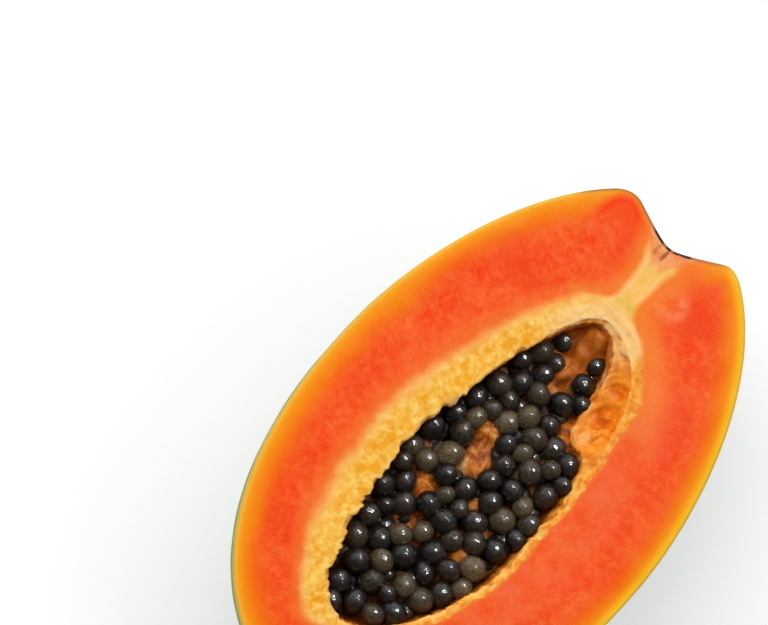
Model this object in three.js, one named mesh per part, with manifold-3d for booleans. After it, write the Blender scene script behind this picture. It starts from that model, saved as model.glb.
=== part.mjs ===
// Half of a ripe papaya, cut lengthways and lying on its skin with the cut face up.
// Millimetres, +Z up, +Y towards the stem end. Two sub-parts: the fruit itself (skin,
// flesh and the hollow in it, one grown solid) and the mass of seeds in the hollow.

import * as THREE from 'three';
import Module from 'manifold-3d';
import { mergeVertices } from 'three/addons/utils/BufferGeometryUtils.js';

// ---- driving dimensions: the body ----
const bodyRadius = 47.6;      // half width at the widest section, y = 0
const blossomLength = 76;     // from the widest section to the blossom end
const stemLength = 80;        // from the widest section to where the side curve would close
const blossomPower = 2.4;     // fullness of the blossom half: 2 is an ellipse
const stemPower = 1.8;        // fullness of the stem half
const notchHeight = 68.3;     // bottom of the dimple at the stem, above the widest section
const notchSide = -1.8;       // the dimple lies this far to the side of the axis
const notchRound = 3;         // radius at the bottom of the dimple
const notchSquash = 0.35;     // the dimple rises this much slower downwards than sideways
const shoulderSlope = 0.5;    // rise of the shoulders out of the dimple
const shoulderSwing = 0.13;   // more on a rib, less in a valley between ribs
const shoulderBlend = 5;      // softness of the shoulders' edge
const ribCount = 5;
const ribDepth = 0.01;        // share of the radius, all along
const ribGrowth = 0.03;       // added towards the stem
const flatDepth = 0.8;        // flat spot that the fruit lies on

// ---- driving dimensions: the hollow ----
const hollowMiddle = -13;     // y of its widest place
const hollowStemReach = 57;   // from there to its pointed end at the stem
const hollowBlossomReach = 42;
const hollowLeft = 18.6;      // half widths on the cut face
const hollowRight = 21;
const stemLeftPower = 1.3;    // fullness of each quarter of its rim: 2 is an ellipse
const stemRightPower = 4;
const blossomLeftPower = 1.45;
const blossomRightPower = 1.9;
const hollowDepth = 18;
const wallSteepness = 4;      // 2 is a round bowl, more is an upright wall
const rimBevel = 0.02;        // share of the way to the middle that the rim's bevel takes
const rimDrop = 0.8;          // from the cut face to the foot of the bevel
const bevelRound = 0.6;       // 1 is a straight bevel, less is a rounded one
const shelfTurn = 0.91;       // the bevel widens to a shelf on the right, towards the stem
const shelfFocus = 19;        // high is a short shelf
const shelfWidth = 0.28;
const shelfDrop = 3.7;
const hollowBend = 3.4;       // sideways drift of the blossom end
const hollowGap = 0.45;       // between its wall and the seeds

// ---- driving dimensions: the seeds ----
const largeSeed = 3.3;        // radius of the first seeds to find a place
const smallSeed = 2.2;        // and of the last
const seedShrink = 0.35;      // low lets only the very first be large
const seedLength = 1.14;      // length against width
const seedCrowding = 0.84;    // least distance between two, against their radii
const seedTries = 9000;
const seedDraw = 2558;
const seedFooting = 0.6;      // share of its radius that a seed's middle keeps from the floor
const seedMargin = 0.5;       // and from the wall
const pileTop = -1.8;         // top of the seeds, below the cut face
const pileFall = -2;          // lower still at the stem end
const pileFallStart = 6;      // y where it starts to fall
const pileFallEnd = 36;
const pileLean = 0.05;        // rise for a millimetre to the right
const seedHigh = 0.4;         // the highest seeds stand this much out of the pile
const seedLow = -1.6;         // and the lowest lie this much lower
const coreDrop = 3.6;         // the core's top lies this far below the seeds' top

// places where the pulp shows between the seeds: x, y and radius
const barePatches = [
  [0.3, 43, 5.5],
  [-0.2, 37.5, 4.8],
  [1.5, 31.5, 4.4],
  [1.2, 26, 4.3],
  [12.5, 17.5, 4.6],
  [-4, 4.5, 4.4],
  [-1, -3, 4.4],
  [-6, -16, 3.8],
  [5.5, -11, 3.2],
  [10.5, -22, 3.4],
];

// ---- facets ----
const bodyAround = 60;
const bodyAlong = 52;
const hollowAround = 60;
const hollowDown = 12;
const bevelRows = 2;
const coreRows = 30;
const halvings = 40;

const manifoldLib = await Module();
manifoldLib.setup();

function clamp01(value) {
  return Math.min(Math.max(value, 0), 1);
}

function smoothStep(from, to, value) {
  const share = clamp01((value - from) / (to - from));
  return share * share * (3 - 2 * share);
}

// the larger of two values, with a rounded corner where they meet
function softMax(a, b, width) {
  const share = Math.max(width - Math.abs(a - b), 0) / width;
  return Math.max(a, b) + (share * share * width) / 4;
}

// ---- the body: below zero inside the fruit, zero on its skin ----

function sideRadius(y) {
  const share = y < 0 ? -y / blossomLength : y / stemLength;
  const power = y < 0 ? blossomPower : stemPower;
  return bodyRadius * Math.sqrt(1 - clamp01(share) ** power);
}

function ribWave(x, z) {
  return Math.cos(ribCount * Math.atan2(z, x));
}

function crownHeight(x, z) {
  const reach = Math.hypot(x - notchSide, notchSquash * z, notchRound) - notchRound;
  return notchHeight + (shoulderSlope + shoulderSwing * ribWave(x - notchSide, z)) * reach;
}

function skinSide(x, y, z) {
  const growth = clamp01((y + 30) / 100) ** 2;
  const radius = sideRadius(y) * (1 + (ribDepth + ribGrowth * growth) * ribWave(x, z));
  return softMax(Math.hypot(x, z) - radius, y - crownHeight(x, z), shoulderBlend);
}

function bodyGeometry() {
  const geometry = new THREE.SphereGeometry(1, bodyAround, bodyAlong);
  const point = geometry.attributes.position;
  for (let i = 0; i < point.count; i += 1) {
    const y = point.getY(i);
    const ray = new THREE.Vector3(point.getX(i), y, point.getZ(i));
    ray.multiply(new THREE.Vector3(bodyRadius, y < 0 ? blossomLength : stemLength, bodyRadius));
    let inside = 0;
    let outside = 1.3;
    for (let step = 0; step < halvings; step += 1) {
      const middle = (inside + outside) / 2;
      if (skinSide(middle * ray.x, middle * ray.y, middle * ray.z) < 0) inside = middle;
      else outside = middle;
    }
    point.setXYZ(i, inside * ray.x, inside * ray.y, inside * ray.z);
  }
  return geometry;
}

// ---- the hollow: rings that are scaled copies of its rim, deeper towards the middle ----

function hollowReach(along) {
  return along > 0 ? hollowStemReach : hollowBlossomReach;
}

function hollowPower(along, across) {
  if (along < 0) return across > 0 ? blossomRightPower : blossomLeftPower;
  return across > 0 ? stemRightPower : stemLeftPower;
}

function shelfShare(along, across) {
  return Math.max(along * Math.sin(shelfTurn) + across * Math.cos(shelfTurn), 0) ** shelfFocus;
}

// where the rim's bevel or shelf ends and the steep wall starts
function wallStart(along, across) {
  return 1 - rimBevel - shelfWidth * shelfShare(along, across);
}

function wallDepth(along, across, ring, depth) {
  const start = wallStart(along, across);
  const step = rimDrop + shelfDrop * shelfShare(along, across);
  if (ring > start) return step * ((1 - ring) / (1 - start)) ** bevelRound;
  return step + (depth - step) * Math.sqrt(Math.max(1 - (ring / start) ** wallSteepness, 0));
}

function hollowBendAt(y) {
  return -hollowBend * clamp01((hollowMiddle - y) / hollowBlossomReach) ** 2;
}

// along and across are the sine and cosine round the rim, ring is 1 at the rim and 0 in the middle
function hollowPoint(along, across, ring, inset) {
  const power = hollowPower(along, across);
  const width = (across > 0 ? hollowRight : hollowLeft) - inset;
  const y = hollowMiddle + ring * (hollowReach(along) - inset) * along;
  const half = ring * width * Math.sqrt(Math.max(1 - Math.abs(along) ** power, 0));
  const depth = wallDepth(along, across, ring, hollowDepth - inset);
  return [Math.sign(across) * half + hollowBendAt(y), y, -depth];
}

// depth of the hollow's floor under a point of the cut face, or 0 outside the rim
function floorDepth(x, y) {
  const along = (y - hollowMiddle) / hollowReach(y - hollowMiddle);
  const side = x - hollowBendAt(y);
  const across = side / (side > 0 ? hollowRight : hollowLeft);
  let low = Math.abs(along);
  let high = 1;
  const power = hollowPower(along, side);
  const spill = (ring) => (across / ring) ** 2 + Math.abs(along / ring) ** power - 1;
  if (low >= 1 || spill(1) > 0) return 0;
  for (let step = 0; step < halvings; step += 1) {
    const middle = (low + high) / 2;
    if (spill(middle) > 0) low = middle;
    else high = middle;
  }
  const turn = Math.max(Math.min(along / high, 1), -1);
  return wallDepth(turn, Math.sign(side) * Math.sqrt(1 - turn * turn), high, hollowDepth);
}

// rows of the hollow's mesh from the rim down: a few on the bevel, the others on the wall
function ringOfRow(row, along, across) {
  if (row < -1 || row === hollowDown) return 0;
  const start = wallStart(along, across);
  if (row < bevelRows) return 1 - (1 - start) * (Math.max(row, 0) / bevelRows);
  const fall = ((row - bevelRows) / (hollowDown - bevelRows)) * (Math.PI / 2);
  return start * Math.cos(fall) ** (2 / wallSteepness);
}

// the hollow as a solid, closed by a flat lid
function hollowGeometry(inset, lid) {
  const rows = hollowDown + 2;
  const geometry = new THREE.SphereGeometry(1, hollowAround, rows);
  const point = geometry.attributes.position;
  const columns = hollowAround + 1;
  for (let i = 0; i < point.count; i += 1) {
    const row = Math.floor(i / columns);
    const turn = (2 * Math.PI * (i % columns)) / hollowAround;
    const along = Math.sin(turn);
    const across = Math.cos(turn);
    const [x, y, z] = hollowPoint(along, across, ringOfRow(row - 2, along, across), inset);
    point.setXYZ(i, x, y, row < 2 ? lid : Math.min(z, lid));
  }
  return geometry;
}

// ---- solids and meshes ----

function toSolid(geometry) {
  const bare = geometry.clone();
  bare.deleteAttribute('normal');
  bare.deleteAttribute('uv');
  const merged = mergeVertices(bare, 1e-4);
  return new manifoldLib.Manifold(new manifoldLib.Mesh({
    numProp: 3,
    vertProperties: new Float32Array(merged.attributes.position.array),
    triVerts: new Uint32Array(merged.index.array),
  }));
}

function toGeometry(solid) {
  const mesh = solid.getMesh();
  const geometry = new THREE.BufferGeometry();
  geometry.setAttribute('position', new THREE.BufferAttribute(mesh.vertProperties, 3));
  geometry.setIndex(new THREE.BufferAttribute(mesh.triVerts, 1));
  geometry.computeVertexNormals();
  return geometry;
}

// a block between two levels, wider than the fruit
function slab(bottom, top) {
  const geometry = new THREE.BoxGeometry(3 * bodyRadius, 3 * stemLength, top - bottom);
  geometry.translate(0, 0, (bottom + top) / 2);
  return toSolid(geometry);
}

// the largest shell of a solid: loose scraps go, and hollows closed inside it are filled
function mainShell(solid) {
  return solid.decompose().reduce((kept, next) => (next.volume() > kept.volume() ? next : kept));
}

// ---- the seeds ----

// a small generator of even random numbers, the same on every run
function makeDraw(seed) {
  let state = seed;
  return () => {
    state = (Math.imul(state, 1664525) + 1013904223) >>> 0;
    return state / 4294967296;
  };
}

function pileLevel(x, y) {
  return pileTop + pileLean * x + pileFall * smoothStep(pileFallStart, pileFallEnd, y);
}

function hasRoom(x, y, z, radius) {
  for (let step = 0; step < 8; step += 1) {
    const turn = (step * Math.PI) / 4;
    const depth = floorDepth(x + radius * Math.cos(turn), y + radius * Math.sin(turn));
    if (depth < -z) return false;
  }
  return true;
}

function isBare(x, y) {
  return barePatches.some(([px, py, radius]) => Math.hypot(x - px, y - py) < radius);
}

// seeds thrown at random over the hollow: one stays where it finds room
function placeSeeds() {
  const draw = makeDraw(seedDraw);
  const seeds = [];
  for (let tries = 0; tries < seedTries; tries += 1) {
    const x = (2 * draw() - 1) * hollowRight;
    const y = hollowMiddle + (2 * draw() - 1) * hollowStemReach;
    const radius = largeSeed + (smallSeed - largeSeed) * (tries / seedTries) ** seedShrink;
    const lift = seedLow + (seedHigh - seedLow) * draw();
    const turn = Math.PI * draw();
    const floor = -floorDepth(x, y);
    const z = pileLevel(x, y) - radius + lift;
    const taken = seeds.some((other) => (
      Math.hypot(x - other.x, y - other.y) < seedCrowding * (radius + other.radius)));
    const lies = floor + seedFooting * radius < z && hasRoom(x, y, z, seedMargin * radius);
    if (taken || isBare(x, y) || !lies) continue;
    seeds.push({ x, y, z, radius, turn });
  }
  return seeds;
}

function seedSolid({ x, y, z, radius, turn }) {
  const geometry = new THREE.IcosahedronGeometry(radius, 1);
  geometry.scale(1, seedLength, 1);
  geometry.rotateZ(turn);
  geometry.translate(x, y, z);
  return toSolid(geometry);
}

// the pile under the top seeds, with its upper face a little below them
function coreSolid() {
  const length = 3 * stemLength;
  const bottom = -2 * hollowDepth;
  const geometry = new THREE.BoxGeometry(3 * bodyRadius, length, -bottom, 1, coreRows, 1);
  const point = geometry.attributes.position;
  for (let i = 0; i < point.count; i += 1) {
    const top = point.getZ(i) > 0;
    point.setZ(i, top ? pileLevel(point.getX(i), point.getY(i)) - coreDrop : bottom);
  }
  return toSolid(geometry);
}

// ---- the two sub-parts ----

function buildFruit() {
  const body = toSolid(bodyGeometry());
  const lowest = -body.boundingBox().max[2];
  const half = body.intersect(slab(lowest + flatDepth, 0));
  return toGeometry(half.subtract(toSolid(hollowGeometry(0, 2))));
}

function buildSeeds() {
  const room = toSolid(hollowGeometry(hollowGap, -0.4));
  let pile = coreSolid().intersect(room);
  for (const seed of placeSeeds()) pile = pile.add(seedSolid(seed).intersect(room));
  return toGeometry(mainShell(pile));
}

const flesh = new THREE.MeshStandardMaterial({ color: 0xf4571e, roughness: 0.45, metalness: 0 });
const seedSkin = new THREE.MeshStandardMaterial({ color: 0x1d1b17, roughness: 0.25, metalness: 0 });

const fruitHalf = new THREE.Mesh(buildFruit(), flesh);
fruitHalf.name = 'fruit_half';
const seeds = new THREE.Mesh(buildSeeds(), seedSkin);
seeds.name = 'seeds';

// the origin is under the middle of the half, on the surface that it lies on
fruitHalf.geometry.computeBoundingBox();
const extent = fruitHalf.geometry.boundingBox;
const papaya = new THREE.Group();
papaya.position.set(
  -(extent.min.x + extent.max.x) / 2,
  -(extent.min.y + extent.max.y) / 2,
  -extent.min.z,
);
papaya.add(fruitHalf, seeds);

const part = new THREE.Group();
part.add(papaya);

export default part;
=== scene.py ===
import math

import bpy
from mathutils import Matrix, Vector, kdtree, noise


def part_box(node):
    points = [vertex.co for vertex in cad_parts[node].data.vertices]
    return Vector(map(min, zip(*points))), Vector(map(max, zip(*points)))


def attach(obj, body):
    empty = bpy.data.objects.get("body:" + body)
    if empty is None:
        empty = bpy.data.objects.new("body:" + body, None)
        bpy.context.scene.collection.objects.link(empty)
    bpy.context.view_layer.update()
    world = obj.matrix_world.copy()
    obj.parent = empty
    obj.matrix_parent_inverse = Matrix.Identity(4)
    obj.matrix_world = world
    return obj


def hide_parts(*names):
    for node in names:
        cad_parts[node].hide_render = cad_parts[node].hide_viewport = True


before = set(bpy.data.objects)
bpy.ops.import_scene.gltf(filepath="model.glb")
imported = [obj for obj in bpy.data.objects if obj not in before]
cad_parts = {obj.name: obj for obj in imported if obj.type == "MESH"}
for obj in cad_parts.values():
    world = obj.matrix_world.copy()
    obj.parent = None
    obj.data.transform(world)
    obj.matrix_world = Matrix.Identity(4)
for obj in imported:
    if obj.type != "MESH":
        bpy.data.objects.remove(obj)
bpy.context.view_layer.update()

# Lengths of the fruit are millimetres in its own frame: y = 0 at the widest section, +y to
# the stem, z = 0 on the cut face. They are turned to metres in the row's frame at the end.

metre = 1000.0
lowCorner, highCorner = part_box("fruit_half")
fruitHeight = (highCorner.z - lowCorner.z) * metre


# small helpers

def clamp(value, low=0.0, high=1.0):
    return max(low, min(high, value))


def smoothStep(low, high, value):
    share = clamp((value - low) / (high - low))
    return share * share * (3 - 2 * share)


def softMax(first, second, width):
    share = max(width - abs(first - second), 0) / width
    return max(first, second) + share * share * width / 4


def mixValue(first, second, share):
    return first + (second - first) * share


def linearColour(red, green, blue):
    def channel(value):
        value /= 255
        return value / 12.92 if value < 0.04045 else ((value + 0.055) / 1.055) ** 2.4
    return (channel(red), channel(green), channel(blue), 1.0)


def wave(x, y, z, size, shift=0.0):  # soft noise from about -1 to 1, with lumps of this size
    return noise.noise(Vector((x / size + shift, y / size, z / size)))


def bisect(low, high, steps, isLow):  # narrows low and high round the place where isLow ends
    for step in range(steps):
        middle = (low + high) / 2
        if isLow(middle):
            low = middle
        else:
            high = middle
    return low, high


def deselectAll():
    if bpy.context.object and bpy.context.object.mode != "OBJECT":
        bpy.ops.object.mode_set(mode="OBJECT")
    bpy.ops.object.select_all(action="DESELECT")


def addObject(name, operator, **options):
    deselectAll()
    operator(**options)
    piece = bpy.context.object
    piece.name = name
    return piece


def rowOfPoint(point, rows):  # its ring on a sphere of radius 1, from the bottom up
    return round((0.5 + math.asin(clamp(point.z, -1, 1)) / math.pi) * rows)


def makeDraw(seed):  # even random numbers from 0 to 1, the same on every run
    state = seed
    span = 2 ** 32

    def draw():
        nonlocal state
        state = (state * 1664525 + 1013904223) % span
        return state / span
    return draw


# the body's form

body = {
    "radius": 47.6,  # half width at the widest section
    "blossomLength": 76.0,
    "stemLength": 80.0,
    "blossomPower": 2.4,  # 2 is an ellipse, more is fuller
    "stemPower": 1.8,
    "notchHeight": 68.3,  # bottom of the dimple at the stem
    "notchSide": -1.8,
    "notchRound": 3.0,
    "notchSquash": 0.35,  # the dimple rises this much slower downwards than sideways
    "shoulderSlope": 0.5,
    "shoulderSwing": 0.13,  # how unequal the shoulders are
    "shoulderBlend": 5.0,
    "ribCount": 5,
    "ribDepth": 0.01,  # share of the radius
    "ribGrowth": 0.03,  # deeper by this at the stem
    "ribStart": -30.0,  # y from which the ribs deepen
    "ribRise": 100.0,  # and how far they go on deepening
}


def sideRadius(y):
    share = -y / body["blossomLength"] if y < 0 else y / body["stemLength"]
    power = body["blossomPower"] if y < 0 else body["stemPower"]
    return body["radius"] * math.sqrt(max(1 - clamp(share) ** power, 0))


def ribWave(x, z):
    return math.cos(body["ribCount"] * math.atan2(z, x))


def crownHeight(x, z):
    side = x - body["notchSide"]
    reach = math.hypot(side, body["notchSquash"] * z, body["notchRound"]) - body["notchRound"]
    slope = body["shoulderSlope"] + body["shoulderSwing"] * ribWave(side, z)
    return body["notchHeight"] + slope * reach


def skinSide(x, y, z):  # below zero inside the fruit
    growth = clamp((y - body["ribStart"]) / body["ribRise"]) ** 2
    ribs = (body["ribDepth"] + body["ribGrowth"] * growth) * ribWave(x, z)
    side = math.hypot(x, z) - sideRadius(y) * (1 + ribs)
    return softMax(side, y - crownHeight(x, z), body["shoulderBlend"])


def skinPoint(turn, fall):  # turn runs round the cut face, fall goes down from it
    across = math.cos(turn) * math.cos(fall) * body["radius"]
    along = math.sin(turn) * math.cos(fall)
    along *= body["stemLength"] if along > 0 else body["blossomLength"]
    down = -math.sin(fall) * body["radius"]

    def isInside(share):
        return skinSide(share * across, share * along, share * down) < 0
    share = bisect(0.5, 1.15, 16, isInside)[0]
    return Vector((share * across, share * along, share * down))


# the hollow's form

hollow = {
    "middle": -13.0,  # y of its widest place
    "stemReach": 57.0,
    "blossomReach": 42.0,
    "left": 18.6,
    "right": 21.0,
    "stemPowers": (1.3, 4.0),  # left and right: high is a full curve, low is a pointed one
    "blossomPowers": (1.45, 1.9),
    "depth": 18.0,
    "bend": 3.4,  # the blossom end swings this far to the left
    "steepness": 4.0,  # 2 is a round bowl, more is an upright wall
    "rimBevel": 0.02,  # share of the way to the middle that the rim's bevel takes
    "rimDrop": 0.8,  # from the cut face to the foot of the bevel
    "shelfTurn": 0.91,  # the bevel widens to a shelf on the right, towards the stem
    "shelfFocus": 19.0,  # high is a short shelf
    "shelfWidth": 0.28,
    "shelfDrop": 3.7,
    "bevelPower": 0.6,
}


def hollowReach(along):
    return hollow["stemReach"] if along > 0 else hollow["blossomReach"]


def hollowPower(along, across):
    left, right = hollow["blossomPowers"] if along < 0 else hollow["stemPowers"]
    return right if across > 0 else left


def shelfShare(along, across):
    toShelf = along * math.sin(hollow["shelfTurn"]) + across * math.cos(hollow["shelfTurn"])
    return max(toShelf, 0) ** hollow["shelfFocus"]


def wallStart(along, across):  # where the rim's bevel or shelf ends and the steep wall starts
    return 1 - hollow["rimBevel"] - hollow["shelfWidth"] * shelfShare(along, across)


def wallDepth(along, across, ring):
    start = wallStart(along, across)
    step = hollow["rimDrop"] + hollow["shelfDrop"] * shelfShare(along, across)
    if ring > start:
        return step * ((1 - ring) / (1 - start)) ** hollow["bevelPower"]
    deeper = math.sqrt(max(1 - (ring / start) ** hollow["steepness"], 0))
    return step + (hollow["depth"] - step) * deeper


def hollowBendAt(y):
    return -hollow["bend"] * clamp((hollow["middle"] - y) / hollow["blossomReach"]) ** 2


def hollowPoint(along, across, ring):  # sine and cosine round the rim, ring is 1 at the rim
    power = hollowPower(along, across)
    width = hollow["right"] if across > 0 else hollow["left"]
    y = hollow["middle"] + ring * hollowReach(along) * along
    half = ring * width * math.sqrt(max(1 - abs(along) ** power, 0))
    x = math.copysign(half, across) + hollowBendAt(y)
    return Vector((x, y, -wallDepth(along, across, ring)))


def hollowRing(x, y):  # share of the way from the hollow's middle to its rim, and the turn there
    along = (y - hollow["middle"]) / hollowReach(y - hollow["middle"])
    side = x - hollowBendAt(y)
    across = side / (hollow["right"] if side > 0 else hollow["left"])
    power = hollowPower(along, side)

    def isOutside(ring):
        return (across / ring) ** 2 + abs(along / ring) ** power > 1
    if abs(along) >= 1 or isOutside(1.0):
        return 1.0, 0.0, math.copysign(1.0, side)
    ring = bisect(abs(along), 1.0, 24, isOutside)[1]
    turn = clamp(along / ring, -1.0, 1.0)
    return ring, turn, math.copysign(math.sqrt(1 - turn * turn), side)


def floorDepth(x, y):
    ring, along, across = hollowRing(x, y)
    return wallDepth(along, across, ring)


# outlines on the cut face, for distances

outlinePoints = 2880
circle = [2 * math.pi * step / outlinePoints for step in range(outlinePoints)]


def outlineTree(points):
    tree = kdtree.KDTree(len(points))
    for index, point in enumerate(points):
        tree.insert((point.x, point.y, 0), index)
    tree.balance()
    return tree


skinTree = outlineTree([skinPoint(turn, 0.0) for turn in circle])
hollowTree = outlineTree([hollowPoint(math.sin(turn), math.cos(turn), 1.0) for turn in circle])


# the fruit: a sphere pushed in from above like a punched ball

fruit = {
    "spokes": 440,
    "flatRows": 3,  # rows from the bottom up: flat spot, skin, cut face and hollow
    "skinRows": 48,
    "faceRows": 56,
    "hollowRows": 60,
    "bevelRows": 18,  # the hollow's first rows, on its bevel
    "faceCrowding": 1.4,  # more crowds the rows towards the hollow
    "bevelCrowding": 1.7,
    "rimWobble": 0.75,  # ragged edge of the hollow
    "rimReach": 2.2,  # how far that goes into the face
    "rimRound": 0.6,
    "rimDrop": 0.2,
    "bandLumps": 0.17,  # the lining's grainy relief
    "wallLumps": 0.22,
    "shelfLumps": 0.6,
    "wallGrain": 0.25,
    "nubRise": 1.3,
    "faceWaves": 0.12,
    "skinUneven": 0.18,
}
liningBand = {  # width of the pale lining beside the hollow
    "left": 8.1,
    "leftAtStem": 5.8,
    "blossomLoss": 3.0,  # it narrows by this at the blossom end
    "right": 1.3,
    "rightAtStem": 3.0,
}
stalkBand = {  # the pale band from the hollow's tip up to the dimple
    "side": -0.8,  # x of its middle
    "half": 2.9,  # half its width
    "foot": 6.0,  # wider by this where it meets the lining
    "footLow": 44,  # y where the foot is widest, and where it ends
    "footHigh": 53,
    "taper": 0.8,  # lost for a millimetre above taperStart
    "taperStart": 60,
    "fork": 58,  # y where two branches part round the plug
    "leftBranch": (-2.7, -0.055),  # x, and how fast it bends away
    "rightBranch": (1.1, 0.035),
    "branchHalf": 0.9,
    "branchLow": 57,
    "branchHigh": 64,
    "reach": 20.0,  # the distance to the band is measured up to here
}
scar = {  # the torn stalk scar in the dimple
    "side": -1.3,
    "height": 68.6,
    "squash": 1.6,
}
paleNubs = [  # cream lumps on the wall: x, y and radius
    (-16.6, 3.0, 2.0),
    (17.6, -1.0, 1.8),
    (14.5, 19.5, 2.0),
    (12.0, -28.0, 2.0),
    (3.0, -45.0, 2.2),
    (7.5, 43.0, 2.6),
]
greenCores = [(-2.2, 51.3, 2.6), (1.2, 50.2, 2.4)]
# a painted sheen on the cut face: x, y and radius
paintedSheenSpot = (8.2, 58.5, 6.0)
tornPatch = (26, 12, 13)


def bandWidth(x, y):
    side = x - hollowBendAt(y)
    left = mixValue(liningBand["left"], liningBand["leftAtStem"], smoothStep(12, 42, y))
    left -= liningBand["blossomLoss"] * smoothStep(-40, -58, y)
    right = mixValue(liningBand["right"], liningBand["rightAtStem"], smoothStep(20, 36, y))
    return mixValue(left, right, smoothStep(-6, 5, side))


def stalkFork(y):  # middles of the two pale branches that part round the plug at the stalk
    rise = max(y - stalkBand["fork"], 0) ** 2
    return [start + bend * rise for start, bend in (stalkBand["leftBranch"], stalkBand["rightBranch"])]


def stalkOut(x, y):  # distance outside the pale band under the stalk, negative inside it
    left, right = stalkFork(y)
    branch = min(abs(x - left), abs(x - right)) - stalkBand["branchHalf"]
    branch += max(stalkBand["branchLow"] - y, 0) + 0.5 * max(y - stalkBand["branchHigh"], 0)
    half = stalkBand["half"] - stalkBand["taper"] * max(y - stalkBand["taperStart"], 0)
    half += stalkBand["foot"] * smoothStep(stalkBand["footHigh"], stalkBand["footLow"], y) ** 2
    trunk = abs(x - stalkBand["side"]) - half + max(stalkBand["footLow"] - y, 0)
    return min(trunk, branch, stalkBand["reach"])


def plugShare(x, y):  # 1 in the tan plug between the two branches
    left, right = stalkFork(y)
    return smoothStep(60.5, 64, y) * smoothStep(0.2, 1.4, x - left) * smoothStep(0.2, 1.4, right - x)


def spot(x, y, middleX, middleY, radius):  # 1 in the middle of a round spot, 0 outside it
    return smoothStep(radius, 0.3 * radius, math.hypot(x - middleX, y - middleY))


def raggedRim(x, y):  # sideways shift of the hollow's edge, with bites and crumbs
    slow = wave(x, y, 0, 8.0, 3.1)
    bites = smoothStep(0.05, 0.22, wave(x, y, 0, 4.2, 9.7))
    crumbs = abs(wave(x, y, 0, 1.6, 5.3)) * smoothStep(-0.1, 0.3, wave(x, y, 0, 9.0, 7.7))
    smooth = (1 - 0.85 * smoothStep(28, 40, y)) * (1 - 0.35 * smoothStep(0, 10, x))
    return fruit["rimWobble"] * smooth * (0.8 * slow + 1.4 * bites - 0.6 - 1.8 * crumbs)


def flatFall(turn):  # the fall at which the skin meets the flat spot
    return bisect(0.9, math.pi / 2, 20, lambda fall: skinPoint(turn, fall).z > -fruitHeight)[1]


def facePoint(turn, share):  # between the skin's edge and the hollow's edge
    outer = skinPoint(turn, 0.0)
    inner = hollowPoint(math.sin(turn), math.cos(turn), 1.0)
    return outer.lerp(inner, share)


def faceRelief(point, outward, ragged, fromSkin, fromHollow):
    inside = smoothStep(0, 2, fromSkin)
    band = fromHollow / bandWidth(point.x, point.y)
    move = outward * ragged * math.exp(-(fromHollow / fruit["rimReach"]) ** 2)
    lumps = 0.7 * wave(point.x, point.y, 0, 2.1, 5.0) + 0.8 * wave(point.x, point.y, 0, 0.9, 8.0)
    lumps *= 1 + 0.7 * smoothStep(4, 14, point.x) * smoothStep(24, 14, point.y)
    move.z += fruit["bandLumps"] * lumps * smoothStep(1.3, 0.7, band) * inside
    move.z += fruit["faceWaves"] * wave(point.x, point.y, 0, 9.0, 1.0) * inside
    move.z -= fruit["rimDrop"] * max(1 - fromHollow / fruit["rimRound"], 0) ** 2
    return move


def wallRelief(point, outward, ragged, normal, shelf):  # and how much of a pale membrane is there
    deep = -point.z
    size = mixValue(3.4, 7.0, shelf)
    bent = 0.25 * wave(point.x, point.y, 0, 3.0, 6.0)
    cells = noise.voronoi(Vector((point.x / size + 0.4 + bent, point.y / size - bent, 0.0)))[0]
    seam = smoothStep(0.24, 0.02, cells[1] - cells[0])
    height = mixValue(fruit["wallLumps"], fruit["shelfLumps"], shelf)
    move = outward * ragged * math.exp(-deep / 2.5)
    move += normal * height * (seam - 0.3) * smoothStep(0.2, 2.0, deep)
    grainy = fruit["wallGrain"] * wave(point.x, point.y, point.z, 1.3, 4.0)
    move += normal * grainy * smoothStep(0, 1.5, deep)
    move.z -= fruit["rimDrop"] * max(1 - deep / 2.0, 0) ** 2
    for nub in paleNubs:
        move -= outward * fruit["nubRise"] * spot(point.x, point.y, *nub) * smoothStep(4.5, 2.0, deep)
    return move, seam * shelf


def ringOfRow(row, along, across):  # a few rows on the rim's bevel, the others on the wall
    start = wallStart(along, across)
    if row < fruit["bevelRows"]:
        return 1 - (1 - start) * (row / fruit["bevelRows"]) ** fruit["bevelCrowding"]
    share = (row - fruit["bevelRows"]) / (fruit["hollowRows"] - fruit["bevelRows"])
    return start * max(math.cos(share * math.pi / 2), 0) ** (2 / hollow["steepness"])


def marksAt(x, y, z, fromSkin, fromHollow):  # what the materials read at a point
    band = fromHollow / bandWidth(x, y)
    scarSide = x - scar["side"]
    scarUp = (y - scar["height"]) * scar["squash"]
    return {
        "skinDepth": fromSkin,
        "hollowNear": fromHollow,
        "lining": band,
        "stalk": stalkOut(x, y),
        "plug": plugShare(x, y),
        "scar": smoothStep(7.0, 3.0, Vector((scarSide, scarUp, z * 1.1)).length),
        "dimple": smoothStep(15, 5, Vector((scarSide, scarUp, z * 0.8)).length),
        "scarEdge": smoothStep(7.0, 5.0, abs(x + 1.4)) * smoothStep(60, 64, y),
        "notch": smoothStep(16.5, 10.5, abs(x + 6.5)) * smoothStep(58, 66, y),
        "cutNear": smoothStep(3.0, 0.0, -z),
        "toRight": smoothStep(-6, 12, x - hollowBendAt(y)),
        "tip": smoothStep(28, 40, y) * smoothStep(13, 8, x),
        "core": max(spot(x, y, *core) for core in greenCores),
        "paintedSheen": spot(x, y, *paintedSheenSpot),
        "torn": spot(x, y, *tornPatch) * smoothStep(1.1, 1.6, band),
    }


def wallMarks(x, y, z, ring, along, across):
    return {
        "wall": clamp(-z / 12.0),
        "tipWall": smoothStep(24, 38, y),
        "ledge": smoothStep(0.05, 0.0, abs(ring - wallStart(along, across))) * clamp(
            3 * shelfShare(along, across)),
        "nub": max(spot(x, y, *nub) for nub in paleNubs) * smoothStep(5.0, 2.5, -z),
    }


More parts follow.
